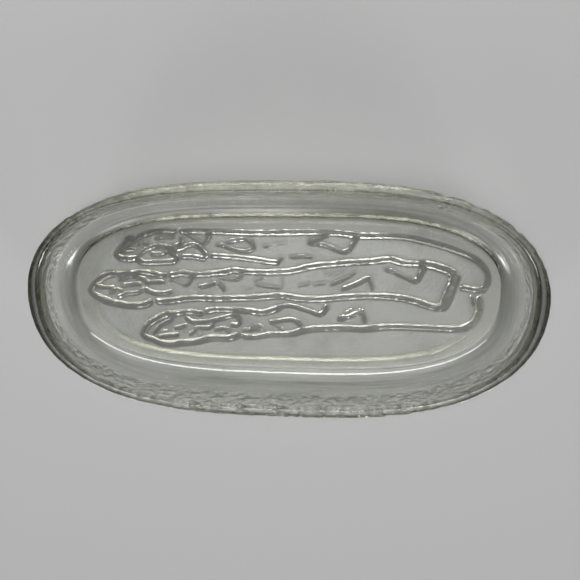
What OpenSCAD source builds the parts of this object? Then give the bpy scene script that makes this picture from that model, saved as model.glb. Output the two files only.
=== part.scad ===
// Oval serving dish for asparagus, pressed in one piece of clear glass.
// Millimetres, +Z up. The origin is the middle of the face that the dish stands on,
// +X runs along the dish towards the cut ends of the three spears.

/* [Dish] */
// Length over the rim
dish_l = 340; // [280:1:400]
// Width over the rim
dish_w = 160; // [140:1:190]
// Height of the rim above the table
dish_h = 35; // [31:0.5:45]

/* [Rim] */
// Thickness of the rounded rim
rim_w = 8; // [6:0.1:10]
// Height of the rounded rim
rim_h = 7; // [5:0.1:9]
// How far the wall under the rim stays inside the rim's widest line
rim_overhang = 1; // [0.5:0.1:2]

/* [Wall] */
// How far the wall slopes inwards at the two ends, from the rim's widest line to the flat floor
slope_end = 21.5; // [19:0.5:28]
// How far it slopes inwards along the two sides
slope_side = 27.5; // [25:0.5:32]

/* [Floor] */
// Thickness of the floor
floor_t = 4.5; // [3:0.1:6]

/* [Foot] */
// Width of the ring that the dish stands on
foot_w = 5; // [3:0.1:7]
// Height of that ring
foot_h = 2.6; // [2.2:0.1:4]

/* [Relief] */
// Width of the widest ridges that draw the spears
ridge_w = 4.4; // [3:0.1:5]
// Depth of those ridges under the floor
ridge_d = 1.7; // [0.8:0.1:2]

/* [Hidden] */

// The plan is |x/a|^p + |y/b|^q = 1. The powers p and q grow from the rim, where the plan is
// a full oval, to the floor, where it is squarer.
rim_x_power = 2.97;
rim_y_power = 2.12;
floor_x_power = 3.6;
floor_y_power = 2.6;
// Points around the plan, a multiple of four
around = 76;

floor_z = foot_h + floor_t;
wall_top_z = dish_h - rim_h;
half_l = dish_l / 2;
half_w = dish_w / 2;
floor_half_l = half_l - slope_end;
floor_half_w = half_w - slope_side;

// The inner wall rises from the floor in one hollow sweep: this power sets how full it is.
cove_power = 1.6;
cove_steps = 6;
// The outer wall opens towards the rim by this power of the height.
flare_power = 0.62;
flare_steps = 4;

// Half section of the rim from its outer foot over the top to its inner foot,
// as shares of its thickness and of its height. The first point follows rim_overhang.
rim_section_shares = [[0.03, 0.22], [0, 0.46], [0.06, 0.71], [0.21, 0.91], [0.44, 1],
                      [0.7, 0.93], [0.87, 0.72], [0.96, 0.38], [1, 0]];

// A ridge's crest is this share of its width at the floor.
crest_share = 0.36;

function spread(v, p) = sign(v) * pow(abs(v), 2 / p);

// Plan points with the half length cut by ix and the half width by iy
function plan(ix, iy) = let (s = ix / slope_end,
        p = rim_x_power + s * (floor_x_power - rim_x_power),
        q = rim_y_power + s * (floor_y_power - rim_y_power))
    [for (i = [0 : around - 1]) let (t = 360 * i / around)
        [(half_l - ix) * spread(cos(t), p), (half_w - iy) * spread(sin(t), q)]];

// One band of triangles between ring i and ring j of a loft
function band(i, j) = [for (k = [0 : around - 1]) let (m = (k + 1) % around)
    each [[i * around + k, i * around + m, j * around + m],
          [i * around + k, j * around + m, j * around + k]]];

// A closed loft round the dish: section holds [inset at the ends, inset at the sides, height]
module loft(section) {
    n = len(section);
    polyhedron(
        points = [for (s = section) each [for (p = plan(s[0], s[1])) [p[0], p[1], s[2]]]],
        faces = [for (i = [0 : n - 1]) each band(i, (i + 1) % n)]);
}

// Place on the inner wall, u = 0 under the rim and u = 1 at the floor
function cove(u) = let (drop = 1 - pow(1 - u, cove_power))
    [rim_w + u * (slope_end - rim_w), rim_w + u * (slope_side - rim_w),
     wall_top_z - (wall_top_z - floor_z) * pow(drop, 1 / cove_power)];

// Place on the outer wall, v = 0 on the foot ring and v = 1 under the rim
function flare(v) = let (run = 1 - pow(v, flare_power))
    [rim_overhang + run * (slope_end - foot_w - rim_overhang),
     rim_overhang + run * (slope_side - foot_w - rim_overhang),
     foot_h + v * (wall_top_z - foot_h)];

module floor_panel() {
    color("PaleTurquoise")
    translate([0, 0, foot_h])
    linear_extrude(floor_t)
    polygon(plan(slope_end, slope_side));
}

module side_wall() {
    color("LightSteelBlue")
    loft(concat(
        [[slope_end, slope_side, foot_h]],
        [for (i = [0 : flare_steps]) flare(pow(i / flare_steps, 1.4))],
        [for (i = [0 : cove_steps]) cove(pow(i / cove_steps, 1.3))]));
}

module rim() {
    color("MediumSeaGreen")
    loft(concat(
        [[rim_overhang, rim_overhang, wall_top_z]],
        [for (s = rim_section_shares) [s[0] * rim_w, s[0] * rim_w, wall_top_z + s[1] * rim_h]]));
}

module foot_ring() {
    color("SlateGray")
    linear_extrude(foot_h)
    difference() {
        polygon(plan(slope_end - foot_w, slope_side - foot_w));
        polygon(plan(slope_end, slope_side));
    }
}

// The relief under the floor. Every stroke is [width as a share of ridge_w, points], and a point
// is a place on the drawing. The drawing's half length and half width, given here, reach to
// half a ridge from the foot ring.
drawing_half_l_share = 146.3;
drawing_half_w_share = 50.3;
// The drawing sits this much off the middle of the floor.
drawing_shift_share = [0.5, -0.8];

upper_tip_shares = [
    [1, [[-121, 30.4], [-118.4, 34.4], [-115, 38.6], [-111.8, 41.8], [-108.6, 42.4], [-105.5, 41.2]]],
    [1, [[-103, 43], [-99, 45], [-94, 46.4], [-89, 47.4], [-83, 47.6], [-77, 47.4]]],
    [0.85, [[-121, 30], [-118.6, 27.6], [-114.6, 26.6], [-110.5, 26.5], [-107, 27.6]]],
    [0.85, [[-105.6, 26.6], [-103, 24.6], [-98, 24], [-91, 24.3], [-84, 24.6], [-79, 25.3],
            [-76.8, 27.4], [-78, 30.4], [-81.4, 33.2]]],
    [0.5, [[-116.2, 31], [-113.2, 34.4], [-110.2, 37.3], [-106.6, 39.8]]],
    [0.45, [[-114, 33.2], [-110, 33.5], [-106.2, 33.5]]],
    [0.45, [[-104, 37.7], [-100, 38], [-96.6, 38.2]]],
    [0.6, [[-105.8, 27.8], [-102.6, 31.2], [-98, 34], [-93, 35.8], [-88, 36.5], [-84, 36],
           [-80.5, 35.2], [-76.5, 36], [-73.2, 38.4], [-71.6, 40.8], [-72.4, 42.6]]],
    [0.55, [[-90.6, 42], [-87.5, 43.1], [-82.5, 43.2], [-78, 43]]],
    [0.5, [[-95, 30.6], [-89, 30.4], [-85, 31.6], [-82.6, 32.4]]]];

upper_stalk_shares = [
    [1, [[-71.5, 47.3], [-60, 47.5], [-50, 47.4], [-38, 46.9], [-26, 46.3], [-12, 46.3], [4, 46.6],
         [20, 47], [31, 47], [40, 46.4], [51, 44.8], [64, 44.6], [77, 44.9], [88, 43.7], [97, 41.8],
         [105, 39.8], [113, 37.6], [121, 34.8], [128, 32], [133.6, 29], [137.8, 25.2], [141, 21],
         [142.4, 16.6], [142.2, 12], [140, 8]]],
    [0.8, [[139.4, 7.4], [134, 7.6], [129, 8.4], [125, 9]]],
    [0.7, [[-72.5, 28.6], [-66, 28.9], [-61, 28.2], [-57, 27.4]]],
    [0.65, [[-77.4, 33.1], [-72, 35.1], [-67.4, 37.2], [-63.6, 37.8], [-60.2, 36.4], [-57.4, 33.8],
            [-55.4, 31], [-55.4, 28.4]]],
    [0.75, [[-50.8, 29.7], [-42, 29.2], [-33, 28.6], [-26, 27.8], [-18, 27], [-12, 25.9], [-4, 25.1]]],
    [0.45, [[-5, 25.8], [-2.6, 27.2], [-0.6, 29]]],
    [0.4, [[-70.4, 46.4], [-64, 42.5], [-59.4, 40], [-56, 38.8]]],
    [0.65, [[-56, 38.8], [-54.4, 40.2], [-52.8, 43.4], [-52.2, 45.6]]],
    [0.5, [[-47, 37.6], [-43, 37.6], [-39.6, 35.8], [-35.5, 34.2], [-31, 33], [-26.6, 32.7],
           [-22.8, 33.9], [-20.4, 35.8], [-21.8, 39], [-24.2, 41.3], [-27, 41.8], [-32, 41.1],
           [-36.4, 40.3], [-40, 39.8]]],
    [0.4, [[-13.4, 37], [-10.4, 37.2]]],
    [0.2, [[-8, 38], [-3, 38.8], [2, 39.3]]],
    [0.5, [[32.4, 45.8], [26, 42.8], [21.4, 41.1], [18, 40.2], [20.4, 38.8], [25, 38.6], [30, 37.7],
           [35, 35.8], [39.4, 33.8], [43, 33.1], [45.6, 34]]],
    [0.65, [[45.6, 34], [47.6, 37.2], [49.6, 40.6], [50.6, 42.8]]],
    [0.4, [[5, 29.2], [9, 29.7], [14, 29.9], [20, 29.4]]]];

middle_tip_shares = [
    [1, [[-144, 3], [-142.4, 5.8], [-138.6, 9.4], [-133.4, 12.8], [-128.4, 15], [-123.6, 15.8]]],
    [1, [[-144, 2.4], [-142.6, 0], [-139, -2], [-135.6, -3.8], [-131.6, -5.4], [-127, -6.6],
         [-122, -7.6], [-117, -8.6], [-111, -8.7], [-105.6, -8.3], [-101.4, -7], [-98.6, -5.7]]],
    [0.85, [[-120.4, 15.2], [-115.4, 16], [-110.6, 16], [-106, 16.8], [-101, 17], [-96.4, 16.2],
            [-91, 15], [-86.4, 14.6]]],
    [0.6, [[-120.6, 11.2], [-116, 13.2], [-111.6, 14.6], [-107.6, 13.3], [-103.6, 12.5],
           [-101.4, 11.6], [-100.8, 9.8]]],
    [0.5, [[-100, 8.9], [-95, 9.8], [-90, 10], [-87, 9.7]]],
    [0.5, [[-118.6, 7], [-113, 7.6], [-107.6, 8.1], [-105, 8.2]]],
    [0.4, [[-139.8, 6.2], [-133, 5.2], [-129.4, 5], [-125.6, 5.7]]],
    [0.55, [[-128.6, 1.6], [-125.6, 2.8], [-122, 3.4], [-120.2, 2.9]]],
    [0.6, [[-122.6, -2.4], [-119, -0.6], [-115.6, 0.7], [-111, 1], [-107, 2], [-104, 3.6],
           [-101.4, 3.9], [-98, 2.3], [-94.6, 1.2], [-90, 1.1], [-85.6, 1.6], [-82.6, 2.6]]]];

middle_stalk_shares = [
    [0.9, [[-82, 15], [-77, 16.2], [-72, 16.8], [-68, 15.9], [-64.5, 15.4], [-57, 16.1], [-49, 16.8],
           [-42, 17.8], [-37, 19], [-32, 19.2], [-28, 18.3], [-20, 18.1], [-11, 17.9], [-4, 18.4],
           [3, 18.7], [10, 20.2], [16, 21.8], [23, 23.3], [32, 24.2], [42, 25.4], [53, 26.2],
           [64, 27], [70, 28], [74.6, 28.6], [79, 27.4], [83, 25.8], [90, 25.5], [97, 25.5]]],
    [1.15, [[97, 25.5], [103, 24.6], [109, 23], [114.6, 21], [118.8, 18.4]]],
    [0.95, [[118.4, 17.6], [116.8, 11.6], [115.2, 6], [113.8, 0.6], [112.9, -3.6]]],
    [0.95, [[121.2, 16.4], [119.8, 10.6], [118.4, 5], [117, -0.6], [115.4, -4.6], [113.4, -5.8]]],
    [1, [[-93, -4.9], [-86, -4.9], [-79, -3.8], [-71, -2.4], [-63, -1.9], [-56, -2.1],
         [-50, -2.3], [-41, -1.9], [-32, -1.5], [-22, -1], [-13, -0.1], [-5, 0.7], [1, 0.7],
         [7, -0.4], [14, -1.2], [23, -1.3], [31, -0.9], [39, 0], [46, 0.9], [54, 1.4], [63, 1.8],
         [72, 1.8], [80, 1.2], [88, 0], [95, -1.8], [101, -3.8], [106, -5.4], [110, -5.9],
         [113.4, -5.8]]],
    [0.3, [[-83.6, 11.7], [-79, 11.1], [-75.4, 9.4], [-71.6, 8.1]]],
    [0.5, [[-71.6, 8.1], [-69.6, 8.6], [-67.8, 10.8], [-66, 13.6]]],
    [0.5, [[-61.5, 6.8], [-57, 7.3], [-52.6, 8.6], [-49.4, 9.7]]],
    [0.5, [[-46.5, 9.4], [-44.6, 7], [-42.8, 4.2]]],
    [0.25, [[-65, 5], [-62, 2.8], [-59.6, 1.4]]],
    [0.3, [[-47, 14], [-43, 13], [-38.6, 12.5], [-34.6, 12.7]]],
    [0.55, [[-34.6, 12.7], [-32, 13.8], [-30.2, 15]]],
    [0.3, [[-21, 11.6], [-17.4, 13.4], [-14.8, 14.4]]],
    [0.35, [[-19.6, 9], [-14, 8], [-8, 7.3], [-2.4, 6.6]]],
    [0.22, [[-0.8, 15], [-0.8, 7]]],
    [0.22, [[-30, 6.2], [-22, 6.2]]],
    [0.3, [[11, 8.2], [14.4, 9.6], [19, 10.4]]],
    [0.3, [[21.6, 9.6], [26, 10.3], [31, 11.6]]],
    [0.4, [[34, 10], [38.4, 11.5], [43, 13.8], [47.4, 16.4], [51, 19.2]]],
    [0.22, [[30, 16.5], [36, 17.6], [43, 19.3]]],
    [0.6, [[42.6, 6.6], [47, 8.3], [52, 10.7], [57, 13.5], [60.4, 15]]],
    [0.45, [[60.4, 15], [62, 12], [63.2, 8.8], [63.6, 6.6]]],
    [0.45, [[72, 21.3], [76, 20.4], [80, 18.4], [84.4, 16.3], [88.4, 14.4], [92, 13.2]]],
    [0.75, [[92, 13.2], [94.4, 14], [96, 17.4], [97.4, 21], [98.4, 23.6]]]];

lower_tip_shares = [
    [1, [[-106.6, -30.8], [-105, -27.4], [-102.4, -23.8], [-99.4, -21], [-95.4, -19], [-92, -16.8],
         [-88.5, -15.2], [-85.4, -14.6]]],
    [0.8, [[-106.4, -31.6], [-104, -33.6], [-100.4, -34.8], [-97.4, -35.8]]],
    [1, [[-96.6, -36.4], [-93, -38], [-88.6, -38.8], [-83.6, -38.4], [-78, -37.2], [-72, -36.8],
         [-66, -36], [-60.4, -34.4], [-55.4, -33], [-51, -32.4], [-46, -32.8], [-41.4, -32.8],
         [-37, -31.2], [-33.6, -30]]],
    [0.85, [[-82.8, -14.5], [-77, -13.8], [-72, -13], [-67, -12.7], [-63.4, -13.6], [-61, -13.8]]],
    [0.6, [[-98, -29.8], [-95.6, -26.8], [-92.4, -23.6], [-88.4, -21.3], [-84.4, -19.4], [-82.2, -16.2]]],
    [0.6, [[-94, -33], [-90, -31.9], [-85, -31.2], [-80, -31.2]]],
    [0.5, [[-82, -25.4], [-77, -24.8], [-73.4, -23.2]]],
    [0.25, [[-93, -28], [-87, -28.4]]],
    [0.6, [[-72.4, -17.2], [-70.2, -19], [-67.6, -20.7], [-63, -20.4], [-58, -19.9], [-53.6, -19.4],
           [-49.6, -18.2], [-45, -17], [-40.4, -15.4], [-36.4, -14.3], [-33.8, -15], [-32.2, -18],
           [-32.4, -21], [-34.8, -22.6], [-38.4, -22]]],
    [0.55, [[-64.8, -24.6], [-59, -25], [-55, -24.8], [-52.6, -22.2]]],
    [0.45, [[-51.6, -26.4], [-48, -25.3], [-44.4, -24.8], [-41.6, -26], [-40, -28.4]]],
    [0.45, [[-71, -30.2], [-68.2, -29], [-66.2, -27.2], [-65.4, -24.8]]],
    [0.45, [[-63.4, -29.6], [-62.6, -31]]],
    [0.4, [[-30, -25.5], [-26, -26], [-22, -25.2], [-17.4, -25.2]]],
    [0.35, [[-24, -23.6], [-21, -22.1], [-17.4, -22.2], [-14.6, -24.2], [-13, -26.4]]]];

lower_stalk_shares = [
    [0.95, [[-56.4, -12], [-52.6, -10.8], [-46, -10.4], [-38, -10.6], [-29, -10.6], [-23, -11.4],
            [-17, -12.4], [-12, -11.6], [-7, -9.8], [-3, -8.2]]],
    [0.5, [[-3, -8.2], [0.6, -6.6], [4.4, -6.1], [9, -7.1], [14, -8.8], [19, -10.2], [23.6, -12],
           [26.8, -12.8]]],
    [0.7, [[26.8, -12.8], [29, -11.4], [30.8, -8.8], [31.5, -6.2]]],
    [0.75, [[-29.6, -30.8], [-25, -31.2], [-20, -31], [-15.6, -30], [-11, -29], [-5, -28.7],
            [1, -28.6], [6.4, -27.9]]],
    [1, [[6.4, -27.9], [11, -26.4], [16, -25], [22, -24], [30, -23.2], [39, -22.7], [48, -22.8],
         [57, -23.2], [65, -22.4], [74, -21], [85, -20.8], [97, -21], [109, -21.4], [119, -21.6],
         [126, -21.5], [131.4, -20.2], [135.4, -17]]],
    [1.25, [[135.4, -17], [137.6, -12.4], [138.6, -7], [138.4, -2], [138, 1]]],
    [0.45, [[132.4, 3], [133.2, 0], [134.2, -3]]],
    [0.55, [[-9.4, -19.2], [-4, -18.3], [2, -17.1], [6.6, -16.8], [10, -18.4], [12.2, -21],
            [13.2, -23.9]]],
    [0.35, [[-9.4, -19.2], [-5, -21.8], [-1, -24.2], [2, -26.8]]],
    [0.35, [[40.8, -15.4], [44.4, -12], [48, -9.4], [51, -8]]],
    [0.6, [[40.6, -16.4], [45, -14.6], [50, -12.8], [54, -10.8], [56, -9]]],
    [0.65, [[56, -9], [57.6, -11.2], [58.8, -14.4], [59.2, -17.4]]]];

function place(p) = let (q = p + drawing_shift_share)
    [q[0] / drawing_half_l_share * (floor_half_l - ridge_w / 2),
     q[1] / drawing_half_w_share * (floor_half_w - ridge_w / 2)];

// The end of a stretch of ridge: a flat dome under the floor
module dome(p, width_share) {
    w = width_share * ridge_w;
    d = ridge_d * sqrt(min(1, width_share));
    translate([p[0], p[1], foot_h - d])
    cylinder(h = d, r1 = w / 2 * crest_share, r2 = w / 2, $fn = width_share < 0.5 ? 4 : 6);
}

module ridges(strokes) {
    for (s = strokes, i = [0 : len(s[1]) - 2])
        hull() {
            dome(place(s[1][i]), s[0]);
            dome(place(s[1][i + 1]), s[0]);
        }
}

// A tip's ridges stop where the ridges of its stalk begin.
module tip(strokes, stalk_strokes) {
    difference() {
        ridges(strokes);
        ridges(stalk_strokes);
    }
}

module upper_spear_tip() { color("OliveDrab") tip(upper_tip_shares, upper_stalk_shares); }
module upper_spear_stalk() { color("YellowGreen") ridges(upper_stalk_shares); }
module middle_spear_tip() { color("Peru") tip(middle_tip_shares, middle_stalk_shares); }
module middle_spear_stalk() { color("SandyBrown") ridges(middle_stalk_shares); }
module lower_spear_tip() { color("MediumOrchid") tip(lower_tip_shares, lower_stalk_shares); }
module lower_spear_stalk() { color("Plum") ridges(lower_stalk_shares); }

floor_panel();
side_wall();
rim();
foot_ring();
upper_spear_tip();
upper_spear_stalk();
middle_spear_tip();
middle_spear_stalk();
lower_spear_tip();
lower_spear_stalk();
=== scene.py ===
"""The look of an oval asparagus dish of clear pressed glass, on a plain pale floor."""
import math

import bmesh
import bpy
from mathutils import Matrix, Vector, noise
from mathutils.bvhtree import BVHTree


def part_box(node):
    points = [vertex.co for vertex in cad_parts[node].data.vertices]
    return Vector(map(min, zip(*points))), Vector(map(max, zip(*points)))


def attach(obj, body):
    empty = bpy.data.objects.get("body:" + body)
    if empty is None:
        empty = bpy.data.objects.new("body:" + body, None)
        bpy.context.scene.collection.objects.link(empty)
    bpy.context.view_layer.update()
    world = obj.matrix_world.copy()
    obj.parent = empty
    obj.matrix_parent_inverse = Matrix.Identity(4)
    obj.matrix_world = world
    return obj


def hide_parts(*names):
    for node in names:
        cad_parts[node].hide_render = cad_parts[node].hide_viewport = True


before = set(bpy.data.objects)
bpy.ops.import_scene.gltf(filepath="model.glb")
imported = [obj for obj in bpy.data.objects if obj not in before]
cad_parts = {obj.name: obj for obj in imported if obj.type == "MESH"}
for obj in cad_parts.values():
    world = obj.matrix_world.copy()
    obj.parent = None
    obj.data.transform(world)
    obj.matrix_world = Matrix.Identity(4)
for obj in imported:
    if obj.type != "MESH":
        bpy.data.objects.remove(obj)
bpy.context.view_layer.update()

MM = 0.001
UP = Vector((0, 0, 1))
ORIGIN = Vector((0, 0, 0))

BODY_NODES = ["floor_panel", "side_wall", "rim", "foot_ring"]
RELIEF_NODES = [
    "upper_spear_tip", "upper_spear_stalk",
    "middle_spear_tip", "middle_spear_stalk",
    "lower_spear_tip", "lower_spear_stalk",
]

# The dish's own sizes, read from the frame
rim_low, rim_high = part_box("rim")
floor_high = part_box("floor_panel")[1]
foot_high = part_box("foot_ring")[1]
HALF_L = rim_high.x
HALF_W = rim_high.y
FLOOR_HALF_L = floor_high.x
FLOOR_HALF_W = floor_high.y
FLOOR_Z = floor_high.z
SLOPE_END = HALF_L - FLOOR_HALF_L
SLOPE_SIDE = HALF_W - FLOOR_HALF_W
FOOT_W = foot_high.x - FLOOR_HALF_L
FOOT_H = foot_high.z
WALL_TOP = rim_low.z
RIM_H = rim_high.z - WALL_TOP
RIDGE_D = FOOT_H - min(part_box(name)[0].z for name in RELIEF_NODES)

# Powers of the oval plan along its length and width, as in the solids
RIM_POWERS = (2.97, 2.12)
FLOOR_POWERS = (3.6, 2.6)
# Steps of the search for a place on the oval
OVAL_TRIES = 12

# Powers of the wall's two curves, and how closely their rings crowd towards one end. The cove is
# as in the solids, and the flare is steeper
COVE_POWER = 1.6
COVE_STEPS = 9
COVE_CROWDING = 1.2
FLARE_POWER = 0.5
FLARE_STEPS = 27
FLARE_CROWDING = 0.6

# Rim: (share of its width from outside, share of its height), from outside over the top
RIM_W = 8 * MM
RIM_OVERHANG = 1 * MM
RIM_SECTION = [
    (0.05, 0.15), (0.01, 0.35), (0, 0.56), (0.05, 0.78), (0.17, 0.94), (0.36, 1),
    (0.62, 1), (0.82, 0.96), (0.93, 0.84), (0.985, 0.6), (1, 0.3), (1, 0),
]

# Foot ring: width of its sloping inner side, and its round outer corner at shares of a quarter turn
FOOT_SLOPE = 7.5 * MM
FOOT_ROUND = 1.8 * MM
FOOT_TURNS = (1, 0.7, 0.35)

# Underside: its grid, how near it may come to the table, and how far its heights are evened out
COLUMNS = 270
ROWS = 186
TABLE_GAP = 0.15 * MM
SOFTENING = 0.5

# Pressed lines: their depth, how nearly thin ones are as deep as thick ones, and how far they melt
# into the floor round them
PRESSED_D = 2.1 * MM
THIN_LINE_POWER = 0.7
MELT_REACH = 1.25 * MM
# Spots round a place: (share of the reach, number of spots)
MELT_RINGS = [(0, 1), (0.5, 6), (1, 8)]
# Mean over the spots that already counts as a line's crest
FULL_SHARE = 0.68
# Uneven crests: size and strength of the noise, then its falloff, spacing and octaves
CREST_GRAIN = 1.7 * MM
CREST_ROUGHNESS = 0.28
CREST_NOISE = (0.7, 2, 2)
# Painted shade on the pressed lines' lower sides: a place is painted dark if a line lies this way from
# it, and the painted shade is this strong
PAINTED_SHADE_OFFSET = Vector((0, 1.1 * MM, 0))
PAINTED_SHADE_STRENGTH = 2.1

# Icy outside: its depth at the ends, and what the long sides add
ICE_DEPTH_END = 0.3 * MM
ICE_DEPTH_SIDE = 1.2 * MM
# It begins at this height, is full a fade higher, and ends this fast over the rim
ICE_LOW = 14 * MM
ICE_FADE = 4 * MM
ICE_OVER_RIM = 2.5
# Its noise: the grain, then falloff, spacing and octaves, and the gain up to full depth
ICE_SCALE = Vector((1 / (7 * MM), 1 / (7 * MM), 1 / (5 * MM)))
ICE_NOISE = (0.8, 2.1, 2)
ICE_GAIN = 1.6

# The rim's ends are painted dark above this height: painted shade where light runs a long way through
# the glass
END_SHADE_LOW = 22 * MM

# Marks on the mesh that the glass reads
MARKS = ["icy", "pebbled", "painted_shade", "ring", "wall"]

CLEAR_GLASS = (0.985, 0.995, 0.975, 1)
# Dark colour painted for shade at the rim's ends and on the lines, and for the specks, streaks and
# veins
OLIVE_SHADE_AND_FLECKS = (0.11, 0.112, 0.085, 1)
DEPTH_TINT = (0.85, 0.852, 0.785, 1)
DEPTH_DENSITY = 85
GLASS_ROUGHNESS = 0.02
GLASS_IOR = 1.52

# Patterns of noise on the glass: (stretch, scale, detail, roughness)
SPECKS = ((1, 1, 1), 650, 2, 0.6)
VEINS = ((1, 1, 1.6), 170, 2, 0.5)
PEBBLES = ((1, 1, 1), 620, 2, 0.5)
FROST = ((1, 1, 3.5), 210, 5, 0.6)
NOISE_MIDDLE = 0.5
# How strongly the patterns darken the glass
SPECK_STRENGTH = 1.2
STREAK_STRENGTH = 1.5
VEIN_STRENGTH = 7
VEIN_MOST = 0.5
# Streaks change slowly along the dish's rings and fast across them
STREAK_ALONG = (25, 25, 0)
STREAK_ACROSS = 700
STREAK_DETAIL = 3
STREAK_ROUGHNESS = 0.6
# Bumps: (distance, strength)
PEBBLE_BUMP = (0.4 * MM, 0.8)
FROST_BUMP = (1.3 * MM, 1)

TABLE_HALF = 3
AIR_GAP = 0.1 * MM
PAPER_COLOUR = (0.36, 0.36, 0.36, 1)
BACKDROP_COLOUR = (0.5, 0.5, 0.5, 1)

# The room is dark at the horizon and bright straight overhead: (height of a direction, brightness)
OVERHEAD_RAMP = ((0.8, 0.02), (1, 3.3))
# Soft windows: (direction, how narrow, how bright)
WINDOWS = [
    (Vector((0, 0.574, 0.819)), 40, 3),
    (Vector((-0.57, -0.81, 0.139)), 90, 34),
    (Vector((0.57, -0.81, 0.139)), 90, 34),
    (Vector((-0.13, -0.95, 0.28)), 90, 8),
]
STRIP_PLACE = Vector((-0.07, 0.5, 1.05))
STRIP_SIZE = (1, 0.12)
STRIP_POWER = 5.5

CAMERA_PLACE = (0.0245, 0.0763, 0.2877)
CAMERA_TURN = (-0.248, 0.067, 0)
FOCAL_PIXELS = 410
PHOTO_PIXELS = 580
SENSOR = 36
CLIP_START = 0.01


def signed_power(value, power):
    """The value's size raised to a power, with its sign kept"""
    return math.copysign(abs(value) ** power, value)


def plan_point(angle, inset_end, inset_side):
    """A place on the oval that lies so far inside the rim; the angle is its (cosine, sine)"""
    share = inset_end / SLOPE_END
    p, q = [r + share * (f - r) for r, f in zip(RIM_POWERS, FLOOR_POWERS)]
    return (
        (HALF_L - inset_end) * signed_power(angle[0], 2 / p),
        (HALF_W - inset_side) * signed_power(angle[1], 2 / q),
    )


def floor_angle(x, y):
    """The (cosine, sine) that belong to a place on the floor's edge"""
    p, q = FLOOR_POWERS
    return (signed_power(x / FLOOR_HALF_L, p / 2), signed_power(y / FLOOR_HALF_W, q / 2))


def oval_reach(u, v):
    """How far out along (u, v) the floor's oval lies, where both are shares of its half sizes"""
    p, q = FLOOR_POWERS
    reach = 1.0
    for _ in range(OVAL_TRIES):
        value = (reach * u) ** p + (reach * v) ** q - 1
        slope = (p * (reach * u) ** p + q * (reach * v) ** q) / reach
        reach -= value / slope
    return reach


def relief_tree():
    """A search tree over the ridges of the three spears"""
    points = []
    faces = []
    for name in RELIEF_NODES:
        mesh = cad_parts[name].data
        start = len(points)
        points += [v.co.copy() for v in mesh.vertices]
        faces += [[start + i for i in poly.vertices] for poly in mesh.polygons]
    return BVHTree.FromPolygons(points, faces)


def relief_share(tree, place):
    """How far the ridges stand out round a place, as a share of the deepest"""
    if tree.find_nearest(place, MELT_REACH)[0] is None:
        return 0
    shares = []
    for radius, spots in MELT_RINGS:
        for i in range(spots):
            turn = 2 * math.pi * i / spots
            x = place.x + radius * MELT_REACH * math.cos(turn)
            y = place.y + radius * MELT_REACH * math.sin(turn)
            hit = tree.ray_cast(Vector((x, y, -FOOT_H)), UP)[0]
            depth = 0 if hit is None else max(0, FOOT_H - hit.z)
            shares.append((depth / RIDGE_D) ** THIN_LINE_POWER)
    return min(1, sum(shares) / len(shares) / FULL_SHARE)


def foot_slope(x, y):
    """Height of the foot ring's inner side over a place on the floor"""
    p, q = FLOOR_POWERS
    reach = (abs(x / FLOOR_HALF_L) ** p + abs(y / FLOOR_HALF_W) ** q) ** (1 / q)
    inset = (1 - reach) * FLOOR_HALF_W
    share = min(1, max(0, 1 - inset / FOOT_SLOPE))
    return FOOT_H * (1 - share * share * (3 - 2 * share))


def floor_underside(bm, painted_shade):
    """The underside with the pressed lines, as one sheet that ends on the foot ring"""
    bmesh.ops.create_grid(bm, x_segments=COLUMNS, y_segments=ROWS, size=1)
    for vert in bm.verts:
        u, v = vert.co.x, vert.co.y
        size = max(abs(u), abs(v))
        if size > 0:
            reach = oval_reach(abs(u) / size, abs(v) / size)
            u, v = u * reach, v * reach
        vert.co = (u * FLOOR_HALF_L, v * FLOOR_HALF_W, 0 if vert.is_boundary else FOOT_H)
    tree = relief_tree()
    inner = [v for v in bm.verts if not v.is_boundary]
    for vert in inner:
        rough = 1 + CREST_ROUGHNESS * noise.fractal(vert.co / CREST_GRAIN, *CREST_NOISE)
        ridge = FOOT_H - rough * PRESSED_D * relief_share(tree, vert.co)
        # Painted shade: each line's dark band, set off towards its lower side
        vert[painted_shade] = min(1, PAINTED_SHADE_STRENGTH * relief_share(tree, vert.co + PAINTED_SHADE_OFFSET))
        slope = foot_slope(vert.co.x, vert.co.y)
        vert.co.z = min(slope, max(TABLE_GAP, ridge))
    bmesh.ops.smooth_vert(bm, verts=inner, factor=SOFTENING, use_axis_z=True)


def cove(u):
    """Inner wall, u = 0 under the rim and u = 1 at the floor"""
    drop = 1 - (1 - u) ** COVE_POWER
    return (
        RIM_W + u * (SLOPE_END - RIM_W),
        RIM_W + u * (SLOPE_SIDE - RIM_W),
        WALL_TOP - (WALL_TOP - FLOOR_Z) * drop ** (1 / COVE_POWER),
    )


def flare(v):
    """Outer wall, v = 0 on the foot ring and v = 1 under the rim"""
    run = 1 - v ** FLARE_POWER
    return (
        RIM_OVERHANG + run * (SLOPE_END - FOOT_W - RIM_OVERHANG),
        RIM_OVERHANG + run * (SLOPE_SIDE - FOOT_W - RIM_OVERHANG),
        FOOT_H + v * (WALL_TOP - FOOT_H),
    )


def foot_corner(share):
    """The foot ring's outer corner, share = 1 on the table and 0 on the ring's side"""
    turn = share * math.pi / 2
    inset = FOOT_ROUND * (1 - math.cos(turn))
    return (
        SLOPE_END - FOOT_W + inset,
        SLOPE_SIDE - FOOT_W + inset,
        FOOT_ROUND * (1 - math.sin(turn)),
    )


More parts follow.
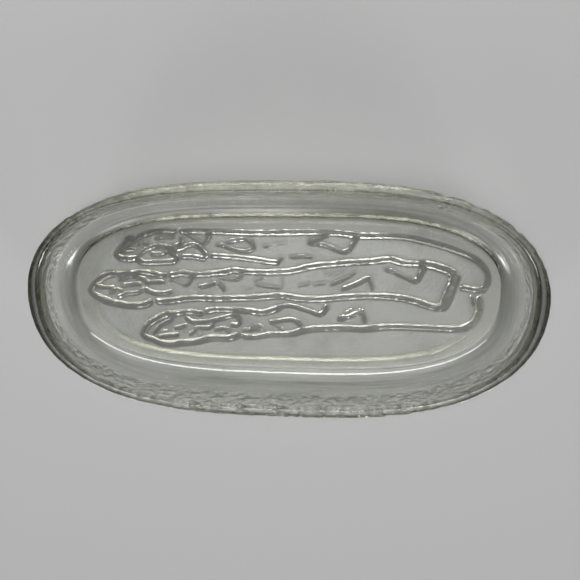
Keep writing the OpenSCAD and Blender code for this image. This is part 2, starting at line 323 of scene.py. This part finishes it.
def section():
    """The rings of the dish from the foot ring outside and up, over the rim and down to the floor:
    (inset at the ends, inset at the sides, height, icy share)"""
    foot = [foot_corner(share) + (0,) for share in FOOT_TURNS]
    outside = []
    for i in range(FLARE_STEPS + 1):
        inset_end, inset_side, height = flare((i / FLARE_STEPS) ** FLARE_CROWDING)
        icy = min(1, max(0, (height - ICE_LOW) / ICE_FADE))
        outside.append((inset_end, inset_side, height, icy))
    rim = []
    for across, up in RIM_SECTION:
        icy = max(0, 1 - ICE_OVER_RIM * across)
        rim.append((across * RIM_W, across * RIM_W, WALL_TOP + up * RIM_H, icy))
    inside = [cove((i / COVE_STEPS) ** COVE_CROWDING) + (0,) for i in range(1, COVE_STEPS + 1)]
    return foot + outside + rim + inside


def iced(x, y, height, share):
    """A place on a ring, pushed in by its share of the icy texture"""
    place = Vector((x, y, height))
    rough = min(1, abs(noise.fractal(place * ICE_SCALE, *ICE_NOISE)) * ICE_GAIN)
    depth = (ICE_DEPTH_END + ICE_DEPTH_SIDE * abs(y) / HALF_W) * share * rough
    outwards = Vector((x / HALF_L ** 2, y / HALF_W ** 2, 0)).normalized()
    return place - outwards * depth


def add_ring(bm, loop, angles, ring, marks):
    """One more ring of the dish, drawn out from a loop of edges: its edges and its angles"""
    inset_end, inset_side, height, icy = ring
    made = bmesh.ops.extrude_edge_only(bm, edges=loop)["geom"]
    fresh = [g for g in made if isinstance(g, bmesh.types.BMVert)]
    edges = [g for g in made if isinstance(g, bmesh.types.BMEdge) and g.is_boundary]
    carried = {}
    for vert in fresh:
        neighbours = [e.other_vert(vert) for e in vert.link_edges]
        angle = next(angles[other] for other in neighbours if other in angles)
        carried[vert] = angle
        x, y = plan_point(angle, inset_end, inset_side)
        vert.co = iced(x, y, height, icy)
        vert[marks["icy"]] = icy
        vert[marks["ring"]] = inset_end
        vert[marks["wall"]] = 1 if height > FOOT_H and inset_end > RIM_W else 0
        # Painted shade at the rim's ends, stronger towards the ends
        vert[marks["painted_shade"]] = (x / HALF_L) ** 2 if height > END_SHADE_LOW and inset_end < RIM_W else 0
        vert[marks["pebbled"]] = 1 if height <= FOOT_H and icy == 0 else 0
    return edges, carried


def glass_dish():
    """The whole dish as one closed skin of glass"""
    bm = bmesh.new()
    marks = {name: bm.verts.layers.float.new(name) for name in MARKS}
    floor_underside(bm, marks["painted_shade"])
    for vert in bm.verts:
        vert[marks["pebbled"]] = 1
    angles = {v: floor_angle(v.co.x, v.co.y) for v in bm.verts if v.is_boundary}
    loop = [e for e in bm.edges if e.is_boundary]
    for ring in section():
        loop, angles = add_ring(bm, loop, angles, ring, marks)
    bmesh.ops.contextual_create(bm, geom=loop)
    bmesh.ops.recalc_face_normals(bm, faces=bm.faces)
    for face in bm.faces:
        face.smooth = True
    return placed(bm, "glass_dish")


def placed(bm, name):
    """A piece of that name from a finished bmesh, in the scene"""
    mesh = bpy.data.meshes.new(name)
    bm.to_mesh(mesh)
    bm.free()
    piece = bpy.data.objects.new(name, mesh)
    bpy.context.scene.collection.objects.link(piece)
    return piece


class NodeTree:
    """A node tree, built one short call at a time"""

    def __init__(self, tree):
        self.nodes = tree.nodes
        self.links = tree.links

    def give(self, value, socket):
        """Link a socket to another, or set it to a plain value"""
        if isinstance(value, bpy.types.NodeSocket):
            self.links.new(value, socket)
        else:
            socket.default_value = value

    def node(self, kind, **values):
        """A node of that kind: small names are its settings and capital names its inputs"""
        made = self.nodes.new("ShaderNode" + kind)
        for name, value in values.items():
            if name[0].islower():
                setattr(made, name, value)
            else:
                self.give(value, made.inputs[name])
        return made

    def combined(self, operation, *values):
        """Sockets or numbers put together by a Math node"""
        made = self.node("Math", operation=operation)
        for value, socket in zip(values, made.inputs):
            self.give(value, socket)
        return made.outputs[0]

    def mixed(self, share, first, second):
        """One colour where the share is 0 and the other where it is 1"""
        made = self.node("Mix", data_type="RGBA")
        colours = [socket for socket in made.inputs if socket.type == "RGBA"]
        self.give(share, made.inputs[0])
        self.give(first, colours[0])
        self.give(second, colours[1])
        return next(socket for socket in made.outputs if socket.type == "RGBA")


class Shader(NodeTree):
    """A material's node tree"""

    def __init__(self, name):
        self.material = bpy.data.materials.new(name)
        self.material.use_nodes = True
        super().__init__(self.material.node_tree)
        self.surface = self.nodes["Principled BSDF"]
        self.output = self.nodes["Material Output"]
        self.place = self.nodes.new("ShaderNodeTexCoord").outputs["Object"]

    def mark(self, name):
        """A mark on the mesh"""
        return self.node("Attribute", attribute_name=name).outputs["Fac"]

    def grain(self, pattern):
        """Noise over the piece, stretched by a Mapping node"""
        stretch, scale, detail, roughness = pattern
        way = self.node("Mapping", Vector=self.place, Scale=stretch).outputs[0]
        made = self.node("TexNoise", Vector=way, Scale=scale, Detail=detail, Roughness=roughness)
        return made.outputs[0]

    def streaks(self):
        """Noise drawn out along the dish's rings"""
        along = self.node("Mapping", Vector=self.place, Scale=STREAK_ALONG).outputs[0]
        across = self.combined("MULTIPLY", self.mark("ring"), STREAK_ACROSS)
        way = self.node("VectorMath", operation="ADD")
        self.links.new(along, way.inputs[0])
        self.links.new(self.node("CombineXYZ", Z=across).outputs[0], way.inputs[1])
        made = self.node(
            "TexNoise", Vector=way.outputs[0], Scale=1, Detail=STREAK_DETAIL, Roughness=STREAK_ROUGHNESS
        )
        return made.outputs[0]

    def masked(self, pattern, name):
        """The pattern where the mark is 1, and nothing where it is 0"""
        return self.combined("MULTIPLY", pattern, self.mark(name))

    def above_middle(self, pattern, strength):
        """The parts of a noise that rise above its middle value"""
        return self.combined("MULTIPLY", self.combined("SUBTRACT", pattern, NOISE_MIDDLE), strength)

    def bump(self, height, size, before=None):
        """A bump of that (distance, strength), over one before it"""
        made = self.node("Bump", Height=height, Distance=size[0], Strength=size[1])
        if before is not None:
            self.links.new(before, made.inputs["Normal"])
        return made.outputs[0]


def shade_and_fleck_share(shader):
    """How dark the glass is painted: painted shade at the rim's ends and on the lines' lower sides, and
    specks below, streaks and icy veins
    """
    specks = shader.above_middle(shader.masked(shader.grain(SPECKS), "pebbled"), SPECK_STRENGTH)
    streaks = shader.above_middle(shader.masked(shader.streaks(), "wall"), STREAK_STRENGTH)
    veins = shader.combined("ABSOLUTE", shader.combined("SUBTRACT", shader.grain(VEINS), NOISE_MIDDLE))
    veins = shader.combined("MULTIPLY", veins, VEIN_STRENGTH)
    veins = shader.masked(shader.combined("MINIMUM", veins, VEIN_MOST), "icy")
    marks = shader.combined("MAXIMUM", shader.combined("MAXIMUM", specks, streaks), veins)
    # The painted shade mark, together with the specks, streaks and veins
    return shader.combined("MAXIMUM", shader.mark("painted_shade"), marks)


def pressed_glass():
    """Clear soda-lime glass, faintly dull yellow-green in its depth, pebbled underneath and icy
    outside, with painted shade at the rim's ends and on the lines
    """
    shader = Shader("pressed_glass")
    surface = shader.surface
    surface.inputs["Base Color"].default_value = CLEAR_GLASS
    surface.inputs["Roughness"].default_value = GLASS_ROUGHNESS
    surface.inputs["IOR"].default_value = GLASS_IOR
    surface.inputs["Transmission Weight"].default_value = 1
    # The base colour darkened by painted shade and by the specks, streaks and veins
    shade_and_fleck_colour = shader.mixed(shade_and_fleck_share(shader), CLEAR_GLASS, OLIVE_SHADE_AND_FLECKS)
    shader.links.new(shade_and_fleck_colour, surface.inputs["Base Color"])
    pebbles = shader.masked(shader.grain(PEBBLES), "pebbled")
    frost = shader.masked(shader.grain(FROST), "icy")
    normal = shader.bump(frost, FROST_BUMP, shader.bump(pebbles, PEBBLE_BUMP))
    shader.links.new(normal, surface.inputs["Normal"])
    depth = shader.node("VolumeAbsorption", Color=DEPTH_TINT, Density=DEPTH_DENSITY)
    shader.links.new(depth.outputs[0], shader.output.inputs["Volume"])
    return shader.material


def studio_floor():
    """A plain pale grey surface just under the dish"""
    bm = bmesh.new()
    bmesh.ops.create_grid(bm, x_segments=1, y_segments=1, size=TABLE_HALF)
    bmesh.ops.translate(bm, verts=bm.verts, vec=-AIR_GAP * UP)
    floor = placed(bm, "studio_floor")
    shader = Shader("pale_paper")
    shader.surface.inputs["Base Color"].default_value = PAPER_COLOUR
    shader.surface.inputs["Roughness"].default_value = 1
    shader.surface.inputs["Specular IOR Level"].default_value = 0
    floor.data.materials.append(shader.material)


def window_glow(tree, way, direction, focus, strength):
    """The light of one soft window, as seen along a way"""
    facing = tree.node("VectorMath", operation="DOT_PRODUCT")
    tree.links.new(way, facing.inputs[0])
    facing.inputs[1].default_value = direction
    ahead = tree.combined("MAXIMUM", facing.outputs["Value"], 0)
    return tree.combined("MULTIPLY", tree.combined("POWER", ahead, focus), strength)


def room():
    """Light from overhead and the windows, and a pale backdrop where the camera looks past the floor"""
    world = bpy.data.worlds.new("room")
    world.use_nodes = True
    tree = NodeTree(world.node_tree)
    way = tree.node("TexCoord").outputs["Generated"]
    height = tree.node("SeparateXYZ", Vector=way).outputs["Z"]
    ramp = tree.node("ValToRGB", Fac=height)
    for stop, (place, brightness) in zip(ramp.color_ramp.elements, OVERHEAD_RAMP):
        stop.position = place
        stop.color = (brightness, brightness, brightness, 1)
    level = ramp.outputs[0]
    for window in WINDOWS:
        level = tree.combined("ADD", level, window_glow(tree, way, *window))
    seen = tree.node("LightPath").outputs["Is Camera Ray"]
    colour = tree.mixed(seen, level, BACKDROP_COLOUR)
    tree.links.new(colour, tree.nodes["Background"].inputs["Color"])
    bpy.context.scene.world = world


def ceiling_strip():
    """A long soft lamp that faces the dish"""
    light = bpy.data.lights.new("ceiling_strip", "AREA")
    light.shape = "RECTANGLE"
    light.size, light.size_y = STRIP_SIZE
    light.energy = STRIP_POWER
    lamp = bpy.data.objects.new("ceiling_strip", light)
    lamp.location = STRIP_PLACE
    lamp.rotation_euler = (ORIGIN - STRIP_PLACE).to_track_quat("-Z", "Y").to_euler()
    bpy.context.scene.collection.objects.link(lamp)


def camera():
    """The photograph's own view, almost straight down"""
    data = bpy.data.cameras.new("camera")
    data.sensor_fit = "HORIZONTAL"
    data.sensor_width = SENSOR
    data.lens = SENSOR * FOCAL_PIXELS / PHOTO_PIXELS
    data.clip_start = CLIP_START
    view = bpy.data.objects.new("camera", data)
    view.location = CAMERA_PLACE
    view.rotation_euler = CAMERA_TURN
    bpy.context.scene.collection.objects.link(view)
    bpy.context.scene.camera = view


dish = glass_dish()
dish.data.materials.append(pressed_glass())
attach(dish, "root")
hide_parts(*BODY_NODES, *RELIEF_NODES)
studio_floor()
room()
ceiling_strip()
camera()
bpy.context.scene.view_settings.view_transform = "Standard"
